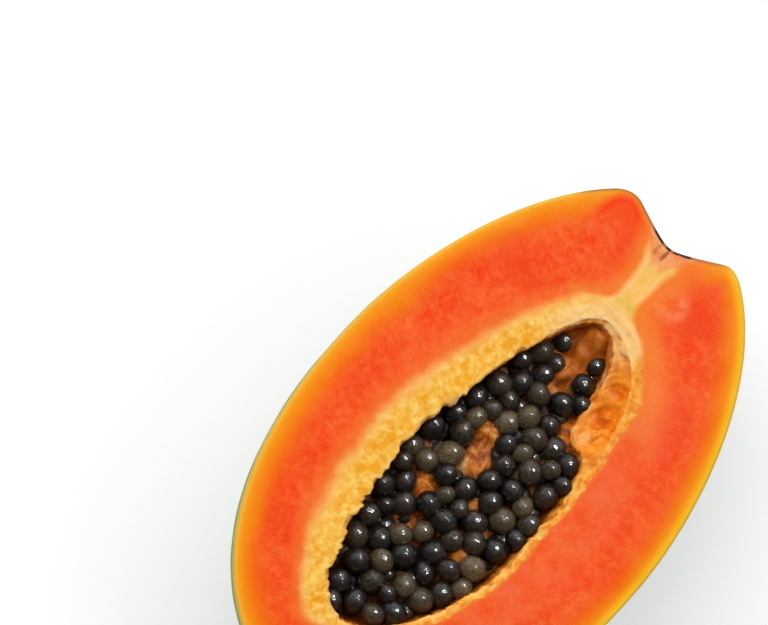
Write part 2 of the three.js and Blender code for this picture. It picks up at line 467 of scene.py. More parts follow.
def makeFruit():
    rows = sum(fruit[name] for name in ("flatRows", "skinRows", "faceRows", "hollowRows"))
    piece = addObject("papaya_half", bpy.ops.mesh.primitive_uv_sphere_add,
                      segments=fruit["spokes"], ring_count=rows, radius=1.0)
    mesh = piece.data
    skinStart = fruit["flatRows"]
    faceStart = skinStart + fruit["skinRows"]
    hollowStart = faceStart + fruit["faceRows"]
    columns = {}
    rowOf = []
    raggedOf = []
    grain = []
    flatPlace = []
    for vertex in mesh.vertices:
        row = rowOfPoint(vertex.co, rows)
        spoke = round(math.atan2(vertex.co.y, vertex.co.x) / (2 * math.pi) * fruit["spokes"])
        spoke %= fruit["spokes"]
        turn = 2 * math.pi * spoke / fruit["spokes"]
        if spoke not in columns:
            fall = flatFall(turn)
            rim = hollowPoint(math.sin(turn), math.cos(turn), 1.0)
            ragged = raggedRim(rim.x, rim.y)
            columns[spoke] = (fall, skinPoint(turn, fall), skinPoint(turn, 0.0), ragged)
        fall, flatEdge, edge, ragged = columns[spoke]
        if row <= skinStart:
            point = flatEdge.copy()
            point.xy *= row / skinStart
            point.z = -fruitHeight
        elif row <= faceStart:
            share = (row - skinStart) / fruit["skinRows"]
            point = skinPoint(turn, fall * (1 - share))
        elif row <= hollowStart:
            share = 1 - (row - faceStart) / fruit["faceRows"]
            point = facePoint(turn, 1 - share ** fruit["faceCrowding"])
        else:
            along, across = math.sin(turn), math.cos(turn)
            point = hollowPoint(along, across, ringOfRow(row - hollowStart, along, across))
        vertex.co = point
        rowOf.append(row)
        raggedOf.append(ragged)
        grain.append((edge.x, edge.y, (point.xy - edge.xy).length))
        flatPlace.append(tuple(point))
    mesh.update()

    marks = {}
    normals = [vertex.normal.copy() for vertex in mesh.vertices]
    for vertex, row, ragged, normal in zip(mesh.vertices, rowOf, raggedOf, normals):
        point = vertex.co.copy()
        x, y = point.x, point.y
        fromSkin = skinTree.find((x, y, 0))[2]
        fromHollow = hollowTree.find((x, y, 0))[2]
        outward = Vector((x - hollowBendAt(y), (y - hollow["middle"]) * 0.4, 0)).normalized()
        mark = {}
        if faceStart < row <= hollowStart:
            point += faceRelief(point, outward, ragged, fromSkin, fromHollow)
        elif row > hollowStart:
            ring, along, across = hollowRing(x, y)
            shelf = clamp(1.6 * shelfShare(along, across)) * smoothStep(-6.5, -4.5, point.z)
            move, membrane = wallRelief(point, outward, ragged, normal, shelf)
            point += move
            mark = wallMarks(x, y, point.z, ring, along, across)
            mark["shelf"] = shelf
            mark["membrane"] = membrane
        elif skinStart < row < faceStart:
            uneven = wave(x, y, point.z, 16.0) + 0.4 * wave(x, y, point.z, 5.0)
            fade = smoothStep(0, 4, -point.z) * smoothStep(0, 6, point.z + fruitHeight)
            point += normal * fruit["skinUneven"] * uneven * fade
        vertex.co = point
        mark.update(marksAt(x, y, point.z, fromSkin, fromHollow))
        for name, value in mark.items():
            marks.setdefault(name, {})[vertex.index] = value
    for name, values in marks.items():
        setAttribute(mesh, name, [values.get(index, 0.0) for index in range(len(mesh.vertices))])
    setVectorAttribute(mesh, "grain", grain)
    setVectorAttribute(mesh, "flatPlace", flatPlace)
    for face in mesh.polygons:
        faceRow = min(rowOf[index] for index in face.vertices)
        face.material_index = 0 if faceRow < faceStart else (1 if faceRow < hollowStart else 2)
        face.use_smooth = True
    print("fruit:", len(mesh.polygons), "faces")
    return piece


def setAttribute(mesh, name, values):
    layer = mesh.attributes.new(name=name, type="FLOAT", domain="POINT")
    layer.data.foreach_set("value", values)


def setVectorAttribute(mesh, name, values):
    layer = mesh.attributes.new(name=name, type="FLOAT_VECTOR", domain="POINT")
    layer.data.foreach_set("vector", [number for value in values for number in value])


# the seeds

seedPile = {
    "large": 3.3,  # radius of the first seeds to find a place
    "small": 2.2,  # and of the last
    "long": 1.14,
    "crowding": 0.84,
    "tries": 9000,
    "shrink": 0.35,  # low turns to small seeds early
    "floorClear": 0.6,  # shares of the radius that a seed keeps from floor and wall
    "wallClear": 0.5,
    "top": -1.8,  # top of the seeds below the cut face
    "fall": -2.0,  # lower still at the stem end
    "lean": 0.05,  # rise for a millimetre to the right
    "high": 0.4,  # the highest seeds stand this much out of the pile
    "low": -1.6,  # and the lowest lie this much lower
    "draw": 2558,
    "underDrop": 3.6,  # the second layer lies this much lower
    "underDraw": 77,
    "lookDraw": 5,
    "tilt": 0.5,
    "wrinkle": 0.14,
    "upperLevel": 4,  # subdivisions of a seed in each layer
    "underLevel": 3,
}
barePatches = [  # where the pulp shows between the seeds: x, y and radius
    (0.3, 43, 5.5),
    (-0.2, 37.5, 4.8),
    (1.5, 31.5, 4.4),
    (1.2, 26, 4.3),
    (12.5, 17.5, 4.6),
    (-4, 4.5, 4.4),
    (-1, -3, 4.4),
    (-6, -16, 3.8),
    (5.5, -11, 3.2),
    (10.5, -22, 3.4),
]


def pileLevel(x, y):
    return seedPile["top"] + seedPile["lean"] * x + seedPile["fall"] * smoothStep(6, 36, y)


def hasRoom(x, y, z, radius):
    turns = [step * math.pi / 4 for step in range(8)]
    return all(floorDepth(x + radius * math.cos(turn), y + radius * math.sin(turn)) >= -z
               for turn in turns)


def isBare(x, y):
    return any(math.hypot(x - px, y - py) < radius for px, py, radius in barePatches)


def placeSeeds(seedOfDraw, drop):
    draw = makeDraw(seedOfDraw)
    seeds = []
    for tries in range(seedPile["tries"]):
        x = (2 * draw() - 1) * hollow["right"]
        y = hollow["middle"] + (2 * draw() - 1) * hollow["stemReach"]
        used = (tries / seedPile["tries"]) ** seedPile["shrink"]
        radius = mixValue(seedPile["large"], seedPile["small"], used)
        lift = mixValue(seedPile["low"], seedPile["high"], draw())
        turn = math.pi * draw()
        floor = -floorDepth(x, y)
        z = pileLevel(x, y) - radius + lift - drop
        if floor + seedPile["floorClear"] * radius >= z or isBare(x, y):
            continue
        if any(math.hypot(x - other[0], y - other[1]) < seedPile["crowding"] * (radius + other[3])
               for other in seeds):
            continue
        if hasRoom(x, y, z, seedPile["wallClear"] * radius):
            seeds.append((x, y, z, radius, turn))
    return seeds


def makeSeeds():
    upper = placeSeeds(seedPile["draw"], 0.0)
    under = placeSeeds(seedPile["underDraw"], seedPile["underDrop"])
    draw = makeDraw(seedPile["lookDraw"])
    copies = []
    tints = []
    for level, seeds in ((seedPile["upperLevel"], upper), (seedPile["underLevel"], under)):
        model = addObject("seed_model", bpy.ops.mesh.primitive_ico_sphere_add,
                          subdivisions=level, radius=1.0)
        for vertex in model.data.vertices:  # an egg, a little pointed at one end
            taper = 1 - 0.05 * vertex.co.y - 0.03 * vertex.co.y ** 2
            vertex.co.x *= taper
            vertex.co.z *= taper
            vertex.co.y *= seedPile["long"]
        for face in model.data.polygons:
            face.use_smooth = True
        for x, y, z, radius, turn in seeds:
            mesh = model.data.copy()
            offset = Vector((20 * draw(), 0, 20 * draw()))
            setVectorAttribute(mesh, "seedPlace", [vertex.co + offset for vertex in mesh.vertices])
            tilt = Matrix.Rotation(seedPile["tilt"] * (draw() - 0.5), 4, "X")
            place = Matrix.Translation((x, y, z)) @ Matrix.Rotation(turn, 4, "Z") @ tilt
            mesh.transform(place @ Matrix.Scale(radius, 4))
            shift = 50 * draw()
            for vertex in mesh.vertices:
                out = vertex.co - Vector((x, y, z))
                out.normalize()
                lump = wave(*vertex.co, 3.0, shift) + 0.6 * wave(*vertex.co, 1.1, shift)
                vertex.co += out * lump * seedPile["wrinkle"]
            copies.append(mesh)
            tints.append(draw())
        bpy.data.objects.remove(model)
    deselectAll()
    for mesh, tint in zip(copies, tints):
        setAttribute(mesh, "seedTint", [tint] * len(mesh.vertices))
        seed = bpy.data.objects.new("seed", mesh)
        bpy.context.collection.objects.link(seed)
        seed.select_set(True)
        bpy.context.view_layer.objects.active = seed
    bpy.ops.object.join()
    piece = bpy.context.object
    piece.name = "papaya_seeds"
    print("seeds:", len(upper), "upper,", len(under), "under,", len(piece.data.polygons), "faces")
    return piece


# the pulp under the seeds

pulp = {
    "spokes": 240,
    "topRows": 90,
    "wallRows": 12,
    "edge": 0.999,  # share of the hollow's width that it fills
    "gap": 0.35,  # and how far above the hollow's floor it stays
    "sink": 1.2,  # where it has no depth, its top goes this far under the wall
    "drop": 5.6,  # below the seeds' top
    "patchRise": 2.0,  # higher where no seed lies
    "lumps": 0.8,
    "fineLumps": 0.25,
    "strands": 0.15,
    "tipRise": 3.2,  # it climbs the wall at the hollow's tip
    "bareReach": 1.6,  # the bare colour spreads this much past a patch
}


def strandShare(x, y):  # 1 on the crest of a strand that runs between the seeds
    ridge = abs(wave(x, y, 0, 8.0, 8.0) + 0.3 * wave(x, y, 0, 3.5, 2.0))
    return smoothStep(0.16, 0.0, ridge)


def bareShare(x, y):  # 1 where no seed hides the pulp
    return max(spot(x, y, px, py, pulp["bareReach"] * radius) for px, py, radius in barePatches)


def pulpTop(x, y):
    level = pileLevel(x, y) - pulp["drop"]
    for px, py, radius in barePatches:
        level += pulp["patchRise"] * smoothStep(1.3, 0.4, math.hypot(x - px, y - py) / radius)
    level += pulp["lumps"] * (wave(x, y, 0, 5.0, 2.0) + 0.4 * wave(x, y, 0, 2.2, 6.0))
    level += pulp["fineLumps"] * wave(x, y, 0, 1.2, 9.0) * smoothStep(30, 14, y)
    level += pulp["strands"] * strandShare(x, y)
    return level


def makePulp():
    rows = pulp["topRows"] + pulp["wallRows"]
    piece = addObject("papaya_pulp", bpy.ops.mesh.primitive_uv_sphere_add,
                      segments=pulp["spokes"], ring_count=rows, radius=1.0)
    for vertex in piece.data.vertices:
        row = rowOfPoint(vertex.co, rows)
        turn = math.atan2(vertex.co.y, vertex.co.x)
        if row <= pulp["wallRows"]:
            ring = pulp["edge"] * math.sin(row / pulp["wallRows"] * math.pi / 2)
        else:
            ring = pulp["edge"] * (rows - row) / pulp["topRows"]
        along, across = math.sin(turn), math.cos(turn)
        point = hollowPoint(along, across, ring)
        bottom = point.z + pulp["gap"]
        climb = smoothStep(0.55, 1.0, ring / wallStart(along, across)) * smoothStep(24, 38, point.y)
        top = pulpTop(point.x, point.y) + pulp["tipRise"] * climb
        if row <= pulp["wallRows"]:
            point.z = min(bottom, top - 0.2)
        else:
            point.z = top
            if point.z < bottom:
                point.z = bottom - pulp["sink"] - 0.3 * min(bottom - point.z, 6)
        vertex.co = point
    flat = [(vertex.co.x, vertex.co.y) for vertex in piece.data.vertices]
    setAttribute(piece.data, "bare", [bareShare(x, y) for x, y in flat])
    setAttribute(piece.data, "tipPulp", [smoothStep(14, 32, y) for x, y in flat])
    setAttribute(piece.data, "strand", [strandShare(x, y) for x, y in flat])
    for face in piece.data.polygons:
        face.use_smooth = True
    print("pulp:", len(piece.data.polygons), "faces")
    return piece


# materials

def newMaterial(name):
    material = bpy.data.materials.new(name)
    material.use_nodes = True
    tree = material.node_tree
    tree.nodes.clear()
    output = tree.nodes.new("ShaderNodeOutputMaterial")
    shader = tree.nodes.new("ShaderNodeBsdfPrincipled")
    tree.links.new(shader.outputs["BSDF"], output.inputs["Surface"])
    return material, tree, shader


def feed(tree, socket, value):  # a number, a colour or the socket of another node
    if isinstance(value, (int, float, tuple)):
        socket.default_value = value
    else:
        tree.links.new(value, socket)


def fill(tree, node, values):
    for name, value in values.items():
        feed(tree, node.inputs[name], value)


def attribute(tree, name, output="Fac"):
    node = tree.nodes.new("ShaderNodeAttribute")
    node.attribute_name = name
    return node.outputs[output]


def objectPlace(tree):
    return tree.nodes.new("ShaderNodeTexCoord").outputs["Object"]


def stretched(tree, vector, scale):
    node = tree.nodes.new("ShaderNodeMapping")
    fill(tree, node, {"Vector": vector, "Scale": scale})
    return node.outputs["Vector"]


def noiseFac(tree, vector, scale, detail=4.0, roughness=0.55, distortion=0.0):
    node = tree.nodes.new("ShaderNodeTexNoise")
    fill(tree, node, {"Vector": vector, "Scale": scale, "Detail": detail,
                      "Roughness": roughness, "Distortion": distortion})
    return node.outputs["Fac"]


def maths(tree, operation, first, second=0.0, third=0.0):
    node = tree.nodes.new("ShaderNodeMath")
    node.operation = operation
    for socket, value in zip(node.inputs, (first, second, third)):
        feed(tree, socket, value)
    return node.outputs["Value"]


def times(tree, first, *others):
    for other in others:
        first = maths(tree, "MULTIPLY", first, other)
    return first


def scaled(tree, value, factor, added):
    return maths(tree, "MULTIPLY_ADD", value, factor, added)


def centredNoise(tree, vector, scale):
    return maths(tree, "SUBTRACT", noiseFac(tree, vector, scale), 0.5)


def spread(tree, value, low, high, toLow=0.0, toHigh=1.0):
    node = tree.nodes.new("ShaderNodeMapRange")
    node.interpolation_type = "SMOOTHSTEP"
    for socket, entry in zip(node.inputs, (value, low, high, toLow, toHigh)):
        feed(tree, socket, entry)
    return node.outputs["Result"]


def mixColour(tree, share, first, second):
    node = tree.nodes.new("ShaderNodeMix")
    node.data_type = "RGBA"
    colours = [socket for socket in node.inputs if socket.type == "RGBA"]
    for socket, value in zip((node.inputs[0], *colours), (share, first, second)):
        feed(tree, socket, value)
    return [socket for socket in node.outputs if socket.type == "RGBA"][0]


def tinted(tree, base, look, *layers):  # each layer is a share and the name of its colour
    for share, name in layers:
        base = mixColour(tree, share, base, linearColour(*look[name]))
    return base


def colourRamp(tree, value, stops):
    node = tree.nodes.new("ShaderNodeValToRGB")
    ramp = node.color_ramp
    while len(ramp.elements) < len(stops):
        ramp.elements.new(0.5)
    for element, (place, colour) in zip(ramp.elements, stops):
        element.position = place
        element.color = linearColour(*colour)
    feed(tree, node.inputs["Fac"], value)
    return node.outputs["Color"]


def flatAxes(tree):  # x and y on the cut face
    node = tree.nodes.new("ShaderNodeSeparateXYZ")
    feed(tree, node.inputs["Vector"], attribute(tree, "flatPlace", "Vector"))
    return node.outputs["X"], node.outputs["Y"]


def bump(tree, height, strength, distance):
    node = tree.nodes.new("ShaderNodeBump")
    fill(tree, node, {"Height": height, "Strength": strength, "Distance": distance})
    return node.outputs["Normal"]


def cellDistance(tree, vector, scale, feature="F1"):
    node = tree.nodes.new("ShaderNodeTexVoronoi")
    node.feature = feature
    fill(tree, node, {"Vector": vector, "Scale": scale})
    return node.outputs["Distance"]


# soft-edged patches of noise, for every material here
patchGroup = bpy.data.node_groups.new("Patches", "ShaderNodeTree")
patchGroup.interface.new_socket("Vector", in_out="INPUT", socket_type="NodeSocketVector")
for socketName in ("Scale", "Detail", "Low", "High"):
    patchGroup.interface.new_socket(socketName, in_out="INPUT", socket_type="NodeSocketFloat")
patchGroup.interface.new_socket("Share", in_out="OUTPUT", socket_type="NodeSocketFloat")
patchInput = patchGroup.nodes.new("NodeGroupInput").outputs
patchOutput = patchGroup.nodes.new("NodeGroupOutput").inputs
patchNoise = noiseFac(patchGroup, patchInput["Vector"], patchInput["Scale"], patchInput["Detail"])
feed(patchGroup, patchOutput["Share"],
     spread(patchGroup, patchNoise, patchInput["Low"], patchInput["High"]))


def patches(tree, vector, scale, low, high, detail=3.0, strength=1.0):
    node = tree.nodes.new("ShaderNodeGroup")
    node.node_tree = patchGroup
    fill(tree, node, {"Vector": vector, "Scale": scale, "Detail": detail, "Low": low, "High": high})
    return times(tree, node.outputs["Share"], strength)


# a moist glow of light inside the flesh, the same for flesh, lining and pulp
def moist(tree, shader, scatter, coat, coatRoughness):
    fill(tree, shader, {
        "Subsurface Weight": scatter,
        "Subsurface Radius": (1.0, 0.35, 0.12),
        "Subsurface Scale": 0.003,
        "Coat Weight": coat,
        "Coat Roughness": coatRoughness,
    })


fleshLook = {
    "rind": [  # from the skin inwards
        (0.0, (196, 178, 76)), (0.03, (244, 178, 54)),
        (0.08, (249, 158, 12)), (0.14, (249, 143, 4)),
        (0.25, (248, 119, 0)), (0.375, (247, 98, 0)),
        (0.50, (249, 82, 4)), (0.62, (249, 66, 2)),
        (0.80, (249, 60, 2)), (1.0, (249, 76, 6)),
    ],
    "rindDepth": 16.0,
    "rightEdge": (252, 202, 10),
    "clouds": [  # size, low, high, detail, strength and colour
        (85, 0.42, 0.66, 5.0, 0.55, (252, 104, 36)),
        (380, 0.36, 0.72, 5.0, 0.6, (255, 120, 50)),
        (600, 0.40, 0.72, 4.0, 0.5, (238, 50, 0)),
        (36, 0.47, 0.64, 3.0, 0.75, (243, 58, 0)),
    ],
    "pink": (251, 116, 72),
    "innerOrange": (250, 138, 54),
    # colour of the painted sheen spot
    "paintedSheen": (253, 160, 108),
    "paleFibre": (255, 122, 52),
    "deepFibre": (238, 58, 2),
    "pits": (215, 72, 24),
    "stalkBorder": (249, 132, 38),
    "stalk": (250, 190, 92),
    "threads": (253, 206, 126),
    "core": (226, 186, 66),
    "plug": (248, 176, 112),
    "plugClouds": (240, 144, 82),
    "plugLines": [(1.1, 0.8), (3.7, 0.4)],  # how far left of the middle, and how dark
    "plugLine": (132, 66, 34),
    "liningBorder": (247, 122, 42),
    "lining": [
        (0.34, (244, 168, 44)), (0.46, (250, 184, 66)),
        (0.56, (253, 198, 86)), (0.68, (255, 216, 128)),
    ],
    "liningClouds": (242, 160, 8),
    "liningEdge": (253, 196, 118),
    "narrowLining": [  # the crumbly band on the right
        (0.34, (222, 108, 20)), (0.46, (242, 142, 34)),
        (0.58, (250, 174, 66)), (0.70, (255, 214, 136)),
    ],
    "tipMargin": (253, 206, 134),
    "tipSmear": (226, 158, 98),
    "rimLine": (254, 212, 150),
    "dryEdge": (150, 88, 48),
    "torn": (30, 24, 22),
}


def fleshMaterial():
    material, tree, shader = newMaterial("papaya_flesh")
    look = fleshLook
    place = objectPlace(tree)
    grain = attribute(tree, "grain", "Vector")
    depth = attribute(tree, "skinDepth")
    right = attribute(tree, "toRight")
    near = attribute(tree, "hollowNear")
    tip = attribute(tree, "tip")
    x, y = flatAxes(tree)
    # the rind's bands follow the skin, with an uneven border
    sway = times(tree, centredNoise(tree, place, 60), spread(tree, depth, 0.5, 8.0, 0.3, 11.0))
    banded = maths(tree, "DIVIDE", maths(tree, "ADD", depth, sway), look["rindDepth"])
    banded = times(tree, banded, scaled(tree, attribute(tree, "notch"), 3.5, 1.0))
    base = colourRamp(tree, banded, look["rind"])
    edge = times(tree, right, spread(tree, x, 9.0, 15.0), spread(tree, depth, 3.0, 0.8), 0.5)
    base = tinted(tree, base, look, (edge, "rightEdge"))
    # paler pink and deeper red clouds
    inner = spread(tree, depth, 4.0, 9.0)
    for *noiseShape, colour in look["clouds"]:
        cloud = times(tree, patches(tree, place, *noiseShape), inner)
        base = mixColour(tree, cloud, base, linearColour(*colour))
    pink = times(tree, right, inner, spread(tree, near, 17.0, 5.0, 0.15, 1.0),
                 spread(tree, y, 54.0, 36.0, 0.45, 1.0), patches(tree, place, 75, 0.34, 0.60, 5.0, 0.7))
    # orange beside the lining on the right, and one pale spot below the right shoulder, which is a
    # painted sheen
    orange = times(tree, right, spread(tree, y, 18.0, 40.0), spread(tree, near, 12.0, 5.5), 0.75)
    paintedSheen = times(tree, attribute(tree, "paintedSheen"), patches(tree, place, 200, 0.30, 0.60, 3.0, 0.7))
    # fine fibres that run inwards from the skin, and little torn pits beside the lining
    fibre = noiseFac(tree, stretched(tree, grain, (2.2, 2.2, 0.7)), 1.0, 5.0, 0.6, 0.4)
    pits = times(tree, patches(tree, stretched(tree, grain, (1.3, 1.3, 0.45)), 1.6, 0.60, 0.72, 2.0),
                 attribute(tree, "torn"))
    base = tinted(tree, base, look, (pink, "pink"), (orange, "innerOrange"), (paintedSheen, "paintedSheen"),
                  (times(tree, spread(tree, fibre, 0.45, 0.80, 0.0, 0.4), inner), "paleFibre"),
                  (times(tree, spread(tree, fibre, 0.55, 0.25, 0.0, 0.4), inner), "deepFibre"),
                  (times(tree, pits, 0.4), "pits"))

    # the pale stalk band with an orange border
    fray = centredNoise(tree, place, 240)
    slowFray = centredNoise(tree, place, 90)
    stalk = scaled(tree, slowFray, 2.5, attribute(tree, "stalk"))
    wider = times(tree, stalk, scaled(tree, right, -0.45, 1.0))
    base = tinted(tree, base, look, (spread(tree, wider, 6.0, 0.5, 0.0, 0.85), "stalkBorder"))
    threads = patches(tree, stretched(tree, place, (1.0, 0.35, 1.0)), 300, 0.38, 0.70, 3.0)
    stalkColour = tinted(tree, linearColour(*look["stalk"]), look, (threads, "threads"))
    base = mixColour(tree, spread(tree, stalk, 1.3, -0.9), base, stalkColour)
    core = times(tree, attribute(tree, "core"), patches(tree, place, 300, 0.3, 0.6, 3.0, 0.8))
    base = tinted(tree, base, look, (core, "core"))
    plugClouds = patches(tree, place, 300, 0.35, 0.7, 3.0)
    plugColour = tinted(tree, linearColour(*look["plug"]), look, (plugClouds, "plugClouds"))
    base = mixColour(tree, times(tree, attribute(tree, "plug"), 0.85), base, plugColour)
    # thin brown lines up the plug
    plugHeight = times(tree, spread(tree, y, 63.6, 65.4), spread(tree, y, 68.4, 67.0))
    for left, strength in look["plugLines"]:
        off = maths(tree, "ADD", maths(tree, "ADD", x, left), times(tree, fray, 2.0))
        line = spread(tree, maths(tree, "ABSOLUTE", off), 0.75, 0.2, 0.0, strength)
        base = tinted(tree, base, look, (times(tree, line, plugHeight), "plugLine"))

    # the pale grainy lining beside the hollow, with an orange border
    lining = scaled(tree, slowFray, 0.45, scaled(tree, fray, 0.30, attribute(tree, "lining")))
    border = times(tree, spread(tree, lining, 1.9, 1.0), spread(tree, stalk, 0.0, 2.5, 0.0, 0.8))
    base = tinted(tree, base, look, (border, "liningBorder"))
    grains = noiseFac(tree, place, 560, 4.0, 0.6, 0.15)
    paleColour = tinted(tree, colourRamp(tree, grains, look["lining"]), look,
                        (patches(tree, place, 250, 0.49, 0.61, 3.0, 0.85), "liningClouds"),
                        (spread(tree, lining, 0.6, 1.0, 0.0, 0.5), "liningEdge"))
    crumbs = colourRamp(tree, noiseFac(tree, place, 520, 5.0, 0.65, 0.3), look["narrowLining"])
    narrow = times(tree, right, spread(tree, tip, 1.0, 0.0), 0.85)
    paleColour = mixColour(tree, narrow, paleColour, crumbs)
    pale = spread(tree, lining, 1.30, 0.78)
    base = mixColour(tree, pale, base, paleColour)
    # round the hollow's pointed end: a smooth pinkish margin and a cream line at its edge
    margin = times(tree, spread(tree, near, 5.0, 3.0), tip, 0.8)
    fromSmear = maths(tree, "ABSOLUTE", maths(tree, "SUBTRACT", near, 1.9))
    smear = times(tree, spread(tree, fromSmear, 1.2, 0.3), tip,
                  patches(tree, place, 240, 0.38, 0.62, 3.0, 0.5))
    rimLine = times(tree, spread(tree, scaled(tree, fray, 0.8, near), 0.9, 0.3),
                    scaled(tree, tip, 0.7, 0.1), 0.85)
    # the dry brown edge of the stem end and the torn stalk scar
    dry = times(tree, spread(tree, depth, 1.1, 0.15), spread(tree, y, 60.0, 66.0),
                spread(tree, x, 14.0, 10.0), 0.75)
    torn = times(tree, spread(tree, depth, 0.75, 0.5), attribute(tree, "scarEdge"),
                 patches(tree, place, 330, 0.36, 0.46, 2.0))
    base = tinted(tree, base, look, (margin, "tipMargin"), (smear, "tipSmear"), (rimLine, "rimLine"),
                  (dry, "dryEdge"), (torn, "torn"))

    height = scaled(tree, pits, -0.4, scaled(tree, fibre, 0.5, times(tree, grains, pale)))
    fill(tree, shader, {
        "Base Color": base,
        "Roughness": spread(tree, fray, -0.2, 0.2, 0.42, 0.6),
        "Specular IOR Level": 0.04,
        "Normal": bump(tree, height, 0.3, 0.0004),
    })
    moist(tree, shader, 0.12, 0.0, 0.3)
    return material


liningLook = {
    "shadedDepths": [  # from the rim down: the lining's own pale orange, then darker with depth, which is painted shade in the hollow
        (0.0, (251, 190, 96)), (0.08, (246, 172, 74)),
        (0.22, (196, 110, 30)), (0.45, (124, 60, 14)),
        (1.0, (66, 28, 8)),
    ],
    # at the hollow's pointed end: paler, and also darker with depth as painted shade
    "shadedTipDepths": [
        (0.0, (252, 200, 130)), (0.10, (232, 150, 60)),
        (0.30, (214, 118, 22)), (0.8, (180, 84, 10)),
    ],
    "shelf": [
        (0.32, (196, 78, 0)), (0.48, (226, 106, 2)),
        (0.60, (242, 136, 18)), (0.74, (251, 172, 66)),
    ],
    "web": (252, 176, 72),
    "membrane": (251, 164, 58),
    "pale": (254, 198, 124),
}


def liningMaterial():
    material, tree, shader = newMaterial("papaya_hollow_lining")
    look = liningLook
    place = objectPlace(tree)
    shelf = attribute(tree, "shelf")
    # the colour darkens with depth below the rim: painted shade on the wall
    deep = maths(tree, "ADD", attribute(tree, "wall"), times(tree, centredNoise(tree, place, 200), 1.1))
    base = mixColour(tree, attribute(tree, "tipWall"), colourRamp(tree, deep, look["shadedDepths"]),
                     colourRamp(tree, deep, look["shadedTipDepths"]))
    shelfColour = colourRamp(tree, noiseFac(tree, place, 260, 5.0, 0.6, 0.3), look["shelf"])
    base = mixColour(tree, shelf, base, shelfColour)
    seams = spread(tree, cellDistance(tree, place, 300, "DISTANCE_TO_EDGE"), 0.10, 0.0)
    web = times(tree, seams, shelf, patches(tree, place, 200, 0.45, 0.6, 2.0, 0.6))
    ledge = times(tree, attribute(tree, "ledge"), patches(tree, place, 190, 0.46, 0.58, 3.0, 0.8))
    pale = times(tree, maths(tree, "MAXIMUM", ledge, attribute(tree, "nub")), 0.75)
    base = tinted(tree, base, look, (web, "web"),
                  (times(tree, attribute(tree, "membrane"), 0.5), "membrane"), (pale, "pale"))
    fill(tree, shader, {
        "Base Color": base,
        "Roughness": 0.45,
        "Specular IOR Level": 0.05,
        "Normal": bump(tree, noiseFac(tree, place, 650), 0.3, 0.0005),
    })
    moist(tree, shader, 0.1, 0.02, 0.2)
    return material


skinLook = {
    "green": [
        (0.34, (46, 70, 8)), (0.47, (72, 100, 10)),
        (0.58, (98, 130, 12)), (0.72, (134, 156, 22)),
    ],
    "blush": (172, 112, 20),
    "dots": (176, 178, 84),
    "nearCut": (168, 156, 24),
    "atCut": (240, 184, 60),
    "dimple": (150, 112, 58),
    "scar": (50, 34, 22),
}


def skinMaterial():
    material, tree, shader = newMaterial("papaya_skin")
    look = skinLook
    place = objectPlace(tree)
    streak = noiseFac(tree, stretched(tree, place, (1.0, 0.16, 1.0)), 62, 5.0)
    tone = scaled(tree, streak, 0.55, times(tree, noiseFac(tree, place, 16, 2.0), 0.5))
    blush = patches(tree, stretched(tree, place, (1.0, 0.4, 1.0)), 26, 0.54, 0.70, 4.0, 0.75)
    dots = times(tree, spread(tree, cellDistance(tree, place, 380), 0.17, 0.08),
                 patches(tree, place, 70, 0.4, 0.6))
    cutNear = attribute(tree, "cutNear")
    base = tinted(tree, colourRamp(tree, tone, look["green"]), look,
                  (blush, "blush"),
                  (times(tree, dots, 0.35), "dots"),
                  (spread(tree, cutNear, 0.0, 0.75), "nearCut"),
                  (spread(tree, cutNear, 0.45, 0.9), "atCut"),
                  (times(tree, attribute(tree, "dimple"), 0.8), "dimple"),
                  (attribute(tree, "scar"), "scar"))
    height = scaled(tree, dots, -0.6, noiseFac(tree, place, 900, 3.0))
    fill(tree, shader, {
        "Base Color": base,
        "Roughness": spread(tree, streak, 0.3, 0.7, 0.34, 0.48),
        "Specular IOR Level": 0.22,
        "Normal": bump(tree, height, 0.2, 0.0003),
    })
    return material


seedLook = {
    "black": [
        (0.32, (4, 3, 3)), (0.46, (22, 15, 8)),
        (0.58, (51, 41, 25)), (0.75, (82, 68, 44)),
        (0.95, (122, 104, 70)),
    ],
    "brown": (70, 40, 20),
    "coatRoughness": 0.06,
}


def seedMaterial():
    material, tree, shader = newMaterial("papaya_seed")
    place = attribute(tree, "seedPlace", "Vector")
    # fine ridges along the seed under a clear skin
    ridges = noiseFac(tree, stretched(tree, place, (7.0, 2.0, 7.0)), 1.0, 5.0, 0.65, 0.5)
    tint = maths(tree, "POWER", attribute(tree, "seedTint"), 2.5)
    base = colourRamp(tree, scaled(tree, tint, 0.4, times(tree, ridges, 0.8)), seedLook["black"])
    base = tinted(tree, base, seedLook, (patches(tree, place, 1.1, 0.56, 0.72, 3.0, 0.5), "brown"))
    matt = patches(tree, place, 4.0, 0.42, 0.60, 3.0)
    folds = noiseFac(tree, stretched(tree, place, (5.0, 1.0, 5.0)), 1.0, 3.0, 0.6, 0.6)
    dents = scaled(tree, folds, 0.35, noiseFac(tree, place, 2.0, 2.0))
    fill(tree, shader, {
        "Base Color": base,
        "Roughness": 0.5,
        "Specular IOR Level": 0.15,
        "Normal": bump(tree, ridges, 0.5, 0.0004),
        "Coat Weight": scaled(tree, matt, -0.5, 0.95),
        "Coat Roughness": seedLook["coatRoughness"],
        "Coat Normal": bump(tree, dents, 0.5, 0.0004),
    })
    return material


pulpLook = {
    "under": [  # below the seeds: the pulp's own brown, darkened as painted shade between the seeds
        (0.34, (44, 17, 2)), (0.50, (96, 41, 6)),
        (0.62, (148, 73, 14)), (0.78, (208, 122, 42)),
    ],
    "bare": [
        (0.34, (104, 44, 6)), (0.45, (168, 82, 18)),
        (0.55, (216, 130, 48)), (0.68, (252, 206, 136)),
    ],
    "tip": [
        (0.36, (112, 44, 2)), (0.48, (170, 84, 12)),
        (0.60, (204, 118, 34)), (0.74, (240, 168, 92)),
    ],
    "strand": (236, 150, 66),
}


